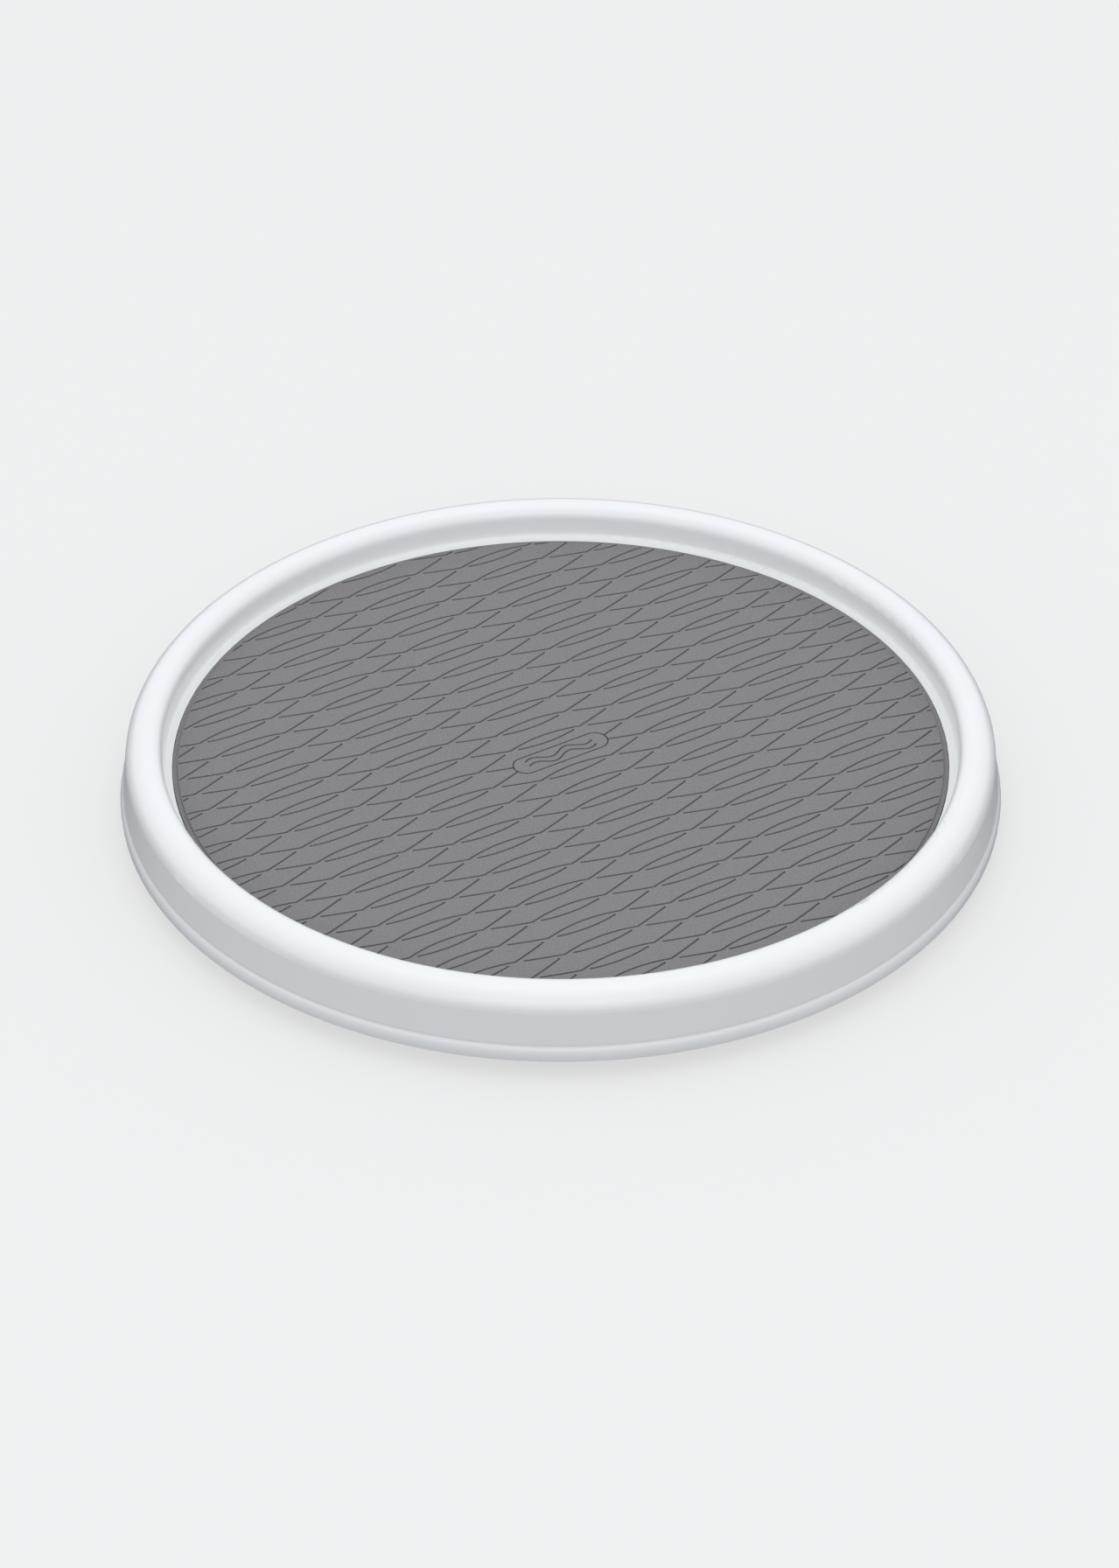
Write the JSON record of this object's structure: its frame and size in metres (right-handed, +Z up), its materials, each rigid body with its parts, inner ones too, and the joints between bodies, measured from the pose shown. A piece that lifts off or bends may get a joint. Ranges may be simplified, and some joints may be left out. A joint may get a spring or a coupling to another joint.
{
  "type": "lazy susan turntable",
  "caption": "Round white turntable tray with a rolled rim and an inlaid grey grip mat, turning on a ball race over a smaller footed base.",
  "frame": {"origin": "on the table, under the centre of the tray, on the spin axis", "axes": "+Z up along the spin axis; +X to the right and +Y away from a viewer who faces the front; the mat's engraved lines run 32 degrees from +X towards +Y at rest"},
  "size_m": [0.3048, 0.3048, 0.0318],
  "materials": {
    "tray_white": "smooth satin-gloss white",
    "mat_grey": "fine matt grain, soft non-slip",
    "base_white": "satin white",
    "cage_nylon": "natural nylon, slightly translucent look",
    "ball_steel": "ground and polished steel",
    "zinc_steel": "bright zinc plated steel",
    "foot_rubber": "matt dark rubber"
  },
  "bodies": {
    "base": {"base": "base_white", "foot_1": "foot_rubber", "foot_2": "foot_rubber", "foot_3": "foot_rubber", "foot_4": "foot_rubber", "foot_5": "foot_rubber", "foot_6": "foot_rubber"},
    "tray": {"tray": "tray_white", "mat": "mat_grey", "retaining_washer": "zinc_steel", "pivot_screw": "zinc_steel"},
    "cage": {"ball_cage": "cage_nylon"},
    "ball_01": {"ball_01": "ball_steel"},
    "ball_02": {"ball_02": "ball_steel"},
    "ball_03": {"ball_03": "ball_steel"},
    "ball_04": {"ball_04": "ball_steel"},
    "ball_05": {"ball_05": "ball_steel"},
    "ball_06": {"ball_06": "ball_steel"},
    "ball_07": {"ball_07": "ball_steel"},
    "ball_08": {"ball_08": "ball_steel"},
    "ball_09": {"ball_09": "ball_steel"},
    "ball_10": {"ball_10": "ball_steel"},
    "ball_11": {"ball_11": "ball_steel"},
    "ball_12": {"ball_12": "ball_steel"},
    "ball_13": {"ball_13": "ball_steel"},
    "ball_14": {"ball_14": "ball_steel"},
    "ball_15": {"ball_15": "ball_steel"},
    "ball_16": {"ball_16": "ball_steel"},
    "ball_17": {"ball_17": "ball_steel"},
    "ball_18": {"ball_18": "ball_steel"},
    "ball_19": {"ball_19": "ball_steel"},
    "ball_20": {"ball_20": "ball_steel"},
    "ball_21": {"ball_21": "ball_steel"},
    "ball_22": {"ball_22": "ball_steel"},
    "ball_23": {"ball_23": "ball_steel"},
    "ball_24": {"ball_24": "ball_steel"}
  },
  "joints": [
    {"name": "tray_spin", "type": "hinge", "parent": "base", "child": "tray", "pos_m": [0, 0, 0.0108], "axis": [0, 0, 1], "continuous": true},
    {"name": "cage_spin", "type": "hinge", "parent": "base", "child": "cage", "pos_m": [0, 0, 0.0108], "axis": [0, 0, 1], "continuous": true},
    {"name": "ball_01_roll", "type": "hinge", "parent": "cage", "child": "ball_01", "pos_m": [0.088, 0, 0.0108], "axis": [1, 0, 0], "continuous": true},
    {"name": "ball_02_roll", "type": "hinge", "parent": "cage", "child": "ball_02", "pos_m": [0.085, 0.02278, 0.0108], "axis": [0.9659, 0.2588, 0], "continuous": true},
    {"name": "ball_03_roll", "type": "hinge", "parent": "cage", "child": "ball_03", "pos_m": [0.07621, 0.044, 0.0108], "axis": [0.866, 0.5, 0], "continuous": true},
    {"name": "ball_04_roll", "type": "hinge", "parent": "cage", "child": "ball_04", "pos_m": [0.06223, 0.06223, 0.0108], "axis": [0.7071, 0.7071, 0], "continuous": true},
    {"name": "ball_05_roll", "type": "hinge", "parent": "cage", "child": "ball_05", "pos_m": [0.044, 0.07621, 0.0108], "axis": [0.5, 0.866, 0], "continuous": true},
    {"name": "ball_06_roll", "type": "hinge", "parent": "cage", "child": "ball_06", "pos_m": [0.02278, 0.085, 0.0108], "axis": [0.2588, 0.9659, 0], "continuous": true},
    {"name": "ball_07_roll", "type": "hinge", "parent": "cage", "child": "ball_07", "pos_m": [0, 0.088, 0.0108], "axis": [0, 1, 0], "continuous": true},
    {"name": "ball_08_roll", "type": "hinge", "parent": "cage", "child": "ball_08", "pos_m": [-0.02278, 0.085, 0.0108], "axis": [-0.2588, 0.9659, 0], "continuous": true},
    {"name": "ball_09_roll", "type": "hinge", "parent": "cage", "child": "ball_09", "pos_m": [-0.044, 0.07621, 0.0108], "axis": [-0.5, 0.866, 0], "continuous": true},
    {"name": "ball_10_roll", "type": "hinge", "parent": "cage", "child": "ball_10", "pos_m": [-0.06223, 0.06223, 0.0108], "axis": [-0.7071, 0.7071, 0], "continuous": true},
    {"name": "ball_11_roll", "type": "hinge", "parent": "cage", "child": "ball_11", "pos_m": [-0.07621, 0.044, 0.0108], "axis": [-0.866, 0.5, 0], "continuous": true},
    {"name": "ball_12_roll", "type": "hinge", "parent": "cage", "child": "ball_12", "pos_m": [-0.085, 0.02278, 0.0108], "axis": [-0.9659, 0.2588, 0], "continuous": true},
    {"name": "ball_13_roll", "type": "hinge", "parent": "cage", "child": "ball_13", "pos_m": [-0.088, 0, 0.0108], "axis": [-1, 0, 0], "continuous": true},
    {"name": "ball_14_roll", "type": "hinge", "parent": "cage", "child": "ball_14", "pos_m": [-0.085, -0.02278, 0.0108], "axis": [-0.9659, -0.2588, 0], "continuous": true},
    {"name": "ball_15_roll", "type": "hinge", "parent": "cage", "child": "ball_15", "pos_m": [-0.07621, -0.044, 0.0108], "axis": [-0.866, -0.5, 0], "continuous": true},
    {"name": "ball_16_roll", "type": "hinge", "parent": "cage", "child": "ball_16", "pos_m": [-0.06223, -0.06223, 0.0108], "axis": [-0.7071, -0.7071, 0], "continuous": true},
    {"name": "ball_17_roll", "type": "hinge", "parent": "cage", "child": "ball_17", "pos_m": [-0.044, -0.07621, 0.0108], "axis": [-0.5, -0.866, 0], "continuous": true},
    {"name": "ball_18_roll", "type": "hinge", "parent": "cage", "child": "ball_18", "pos_m": [-0.02278, -0.085, 0.0108], "axis": [-0.2588, -0.9659, 0], "continuous": true},
    {"name": "ball_19_roll", "type": "hinge", "parent": "cage", "child": "ball_19", "pos_m": [0, -0.088, 0.0108], "axis": [0, -1, 0], "continuous": true},
    {"name": "ball_20_roll", "type": "hinge", "parent": "cage", "child": "ball_20", "pos_m": [0.02278, -0.085, 0.0108], "axis": [0.2588, -0.9659, 0], "continuous": true},
    {"name": "ball_21_roll", "type": "hinge", "parent": "cage", "child": "ball_21", "pos_m": [0.044, -0.07621, 0.0108], "axis": [0.5, -0.866, 0], "continuous": true},
    {"name": "ball_22_roll", "type": "hinge", "parent": "cage", "child": "ball_22", "pos_m": [0.06223, -0.06223, 0.0108], "axis": [0.7071, -0.7071, 0], "continuous": true},
    {"name": "ball_23_roll", "type": "hinge", "parent": "cage", "child": "ball_23", "pos_m": [0.07621, -0.044, 0.0108], "axis": [0.866, -0.5, 0], "continuous": true},
    {"name": "ball_24_roll", "type": "hinge", "parent": "cage", "child": "ball_24", "pos_m": [0.085, -0.02278, 0.0108], "axis": [0.9659, -0.2588, 0], "continuous": true}
  ],
  "couplings": [
    {"joint": "cage_spin", "follows": "tray_spin", "ratio": 0.5},
    {"joint": "ball_01_roll", "follows": "tray_spin", "ratio": -13.858},
    {"joint": "ball_02_roll", "follows": "tray_spin", "ratio": -13.858},
    {"joint": "ball_03_roll", "follows": "tray_spin", "ratio": -13.858},
    {"joint": "ball_04_roll", "follows": "tray_spin", "ratio": -13.858},
    {"joint": "ball_05_roll", "follows": "tray_spin", "ratio": -13.858},
    {"joint": "ball_06_roll", "follows": "tray_spin", "ratio": -13.858},
    {"joint": "ball_07_roll", "follows": "tray_spin", "ratio": -13.858},
    {"joint": "ball_08_roll", "follows": "tray_spin", "ratio": -13.858},
    {"joint": "ball_09_roll", "follows": "tray_spin", "ratio": -13.858},
    {"joint": "ball_10_roll", "follows": "tray_spin", "ratio": -13.858},
    {"joint": "ball_11_roll", "follows": "tray_spin", "ratio": -13.858},
    {"joint": "ball_12_roll", "follows": "tray_spin", "ratio": -13.858},
    {"joint": "ball_13_roll", "follows": "tray_spin", "ratio": -13.858},
    {"joint": "ball_14_roll", "follows": "tray_spin", "ratio": -13.858},
    {"joint": "ball_15_roll", "follows": "tray_spin", "ratio": -13.858},
    {"joint": "ball_16_roll", "follows": "tray_spin", "ratio": -13.858},
    {"joint": "ball_17_roll", "follows": "tray_spin", "ratio": -13.858},
    {"joint": "ball_18_roll", "follows": "tray_spin", "ratio": -13.858},
    {"joint": "ball_19_roll", "follows": "tray_spin", "ratio": -13.858},
    {"joint": "ball_20_roll", "follows": "tray_spin", "ratio": -13.858},
    {"joint": "ball_21_roll", "follows": "tray_spin", "ratio": -13.858},
    {"joint": "ball_22_roll", "follows": "tray_spin", "ratio": -13.858},
    {"joint": "ball_23_roll", "follows": "tray_spin", "ratio": -13.858},
    {"joint": "ball_24_roll", "follows": "tray_spin", "ratio": -13.858}
  ]
}
